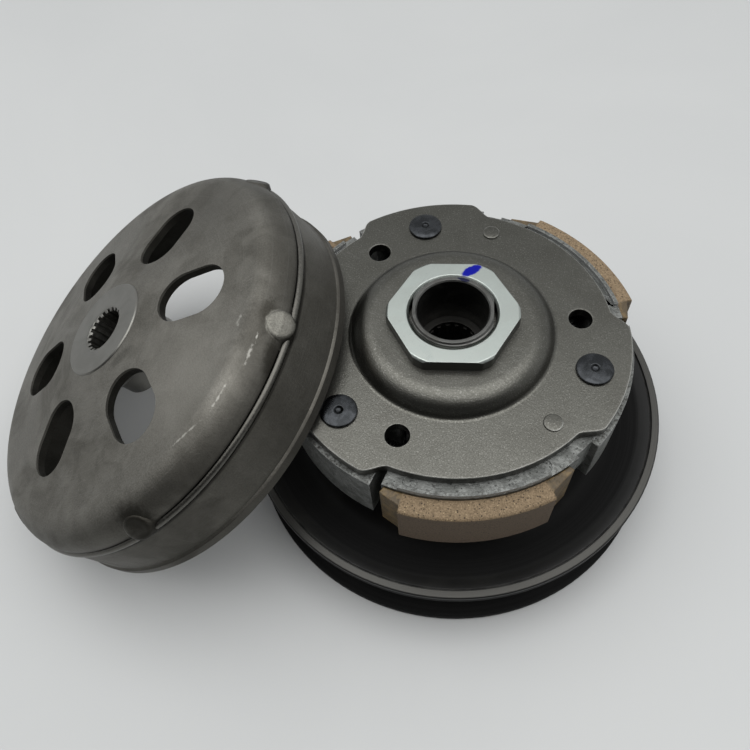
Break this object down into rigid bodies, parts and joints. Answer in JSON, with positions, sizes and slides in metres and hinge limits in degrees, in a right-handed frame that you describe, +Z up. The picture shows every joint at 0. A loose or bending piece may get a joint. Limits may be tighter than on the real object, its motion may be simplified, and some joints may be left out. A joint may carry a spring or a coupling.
{
  "type": "cvt driven pulley and clutch set",
  "caption": "Driven pulley of a belt drive with its centrifugal clutch, and the clutch bell taken off and leaning on it.",
  "frame": {"origin": "centre of the shaft bore at the face that the pulley stands on", "axes": "+Z up along the pulley's axis towards the nut, -X towards the bell"},
  "size_m": [0.2469, 0.1559, 0.1015],
  "materials": {
    "black_face": "black oxide, satin, machined rim band",
    "tube_steel": "turned steel",
    "plate_steel": "warm dark heat-treated steel",
    "nut_zinc": "bright zinc plating",
    "cam_steel": "ground steel",
    "seal_rubber": "black nitrile rubber",
    "pin_steel": "blue-black oxide steel",
    "spring_steel": "oiled spring steel",
    "collar_plastic": "black glass-filled nylon",
    "shoe_alloy": "die-cast, slightly grainy",
    "lining_friction": "woven friction compound, golden brown",
    "bearing_steel": "polished bearing steel",
    "bell_steel": "warm dark heat-treated steel",
    "bell_hub_steel": "turned steel, heat-treated",
    "wire_steel": "drawn steel wire"
  },
  "bodies": {
    "pulley": {"fixed_face": "black_face", "hub_tube": "tube_steel", "drive_plate": "plate_steel", "hub_nut": "nut_zinc", "guide_pins": "bearing_steel", "guide_rollers": "bearing_steel", "contra_spring": "spring_steel", "spring_collar": "collar_plastic", "pivot_pins": "pin_steel", "pivot_clips": "pin_steel", "damper_pins": "plate_steel", "damper_rubbers": "seal_rubber", "needle_shell": "bearing_steel", "bearing_outer": "bearing_steel", "bearing_shields": "tube_steel", "snap_ring": "pin_steel"},
    "spring_seat": {"spring_seat": "cam_steel"},
    "movable_face": {"movable_face": "black_face", "cam_sleeve": "cam_steel", "cam_o_rings": "seal_rubber", "cam_seals": "seal_rubber"},
    "inner_ring": {"bearing_inner": "bearing_steel"},
    "ball_cage": {"bearing_cage": "collar_plastic", "bearing_balls": "bearing_steel"},
    "needle_set": {"needle_cage": "cam_steel", "needles": "bearing_steel"},
    "shoe_1": {"shoe_1": "shoe_alloy", "lining_1": "lining_friction", "return_spring_1": "spring_steel"},
    "shoe_2": {"shoe_2": "shoe_alloy", "lining_2": "lining_friction", "return_spring_2": "spring_steel"},
    "shoe_3": {"shoe_3": "shoe_alloy", "lining_3": "lining_friction", "return_spring_3": "spring_steel"},
    "bell": {"bell_drum": "bell_steel", "bell_hub": "bell_hub_steel", "bell_wire": "wire_steel"}
  },
  "joints": [
    {"name": "face_slide", "type": "slide", "parent": "pulley", "child": "spring_seat", "axis": [0, 0, 1], "range_m": [0, 0.014], "stiffness_N_per_m": 4000, "springref_m": -0.03, "deforming": ["contra_spring"]},
    {"name": "face_twist", "type": "hinge", "parent": "spring_seat", "child": "movable_face", "pos_m": [0, 0, 0.05], "axis": [0, 0, 1], "range_deg": [-43.5, 0]},
    {"name": "inner_ring_spin", "type": "hinge", "parent": "pulley", "child": "inner_ring", "pos_m": [0, 0, 0.0035], "axis": [0, 0, 1], "continuous": true},
    {"name": "ball_cage_spin", "type": "hinge", "parent": "pulley", "child": "ball_cage", "pos_m": [0, 0, 0.0035], "axis": [0, 0, 1], "continuous": true},
    {"name": "needle_cage_spin", "type": "hinge", "parent": "pulley", "child": "needle_set", "pos_m": [0, 0, 0.0565], "axis": [0, 0, 1], "continuous": true},
    {"name": "shoe_1_swing", "type": "hinge", "parent": "pulley", "child": "shoe_1", "pos_m": [-0.01153, 0.04556, 0.055], "axis": [0, 0, 1], "range_deg": [0, 4.5], "stiffness_Nm_per_rad": 5, "springref_deg": -5.73, "deforming": ["return_spring_1"]},
    {"name": "shoe_2_swing", "type": "hinge", "parent": "pulley", "child": "shoe_2", "pos_m": [-0.0337, -0.03277, 0.055], "axis": [0, 0, 1], "range_deg": [0, 4.5], "stiffness_Nm_per_rad": 5, "springref_deg": -5.73, "deforming": ["return_spring_2"]},
    {"name": "shoe_3_swing", "type": "hinge", "parent": "pulley", "child": "shoe_3", "pos_m": [0.04522, -0.0128, 0.055], "axis": [0, 0, 1], "range_deg": [0, 4.5], "stiffness_Nm_per_rad": 5, "springref_deg": -5.73, "deforming": ["return_spring_3"]},
    {"name": "bell_lift_off", "type": "slide", "parent": "pulley", "child": "bell", "axis": [-0.5378, -0.0518, 0.8415], "range_m": [0, 0.12]}
  ],
  "couplings": [
    {"joint": "face_twist", "follows": "face_slide", "rad_per_m": -53.607},
    {"joint": "ball_cage_spin", "follows": "inner_ring_spin", "ratio": 0.42766},
    {"joint": "needle_cage_spin", "follows": "inner_ring_spin", "ratio": 0.44737}
  ]
}
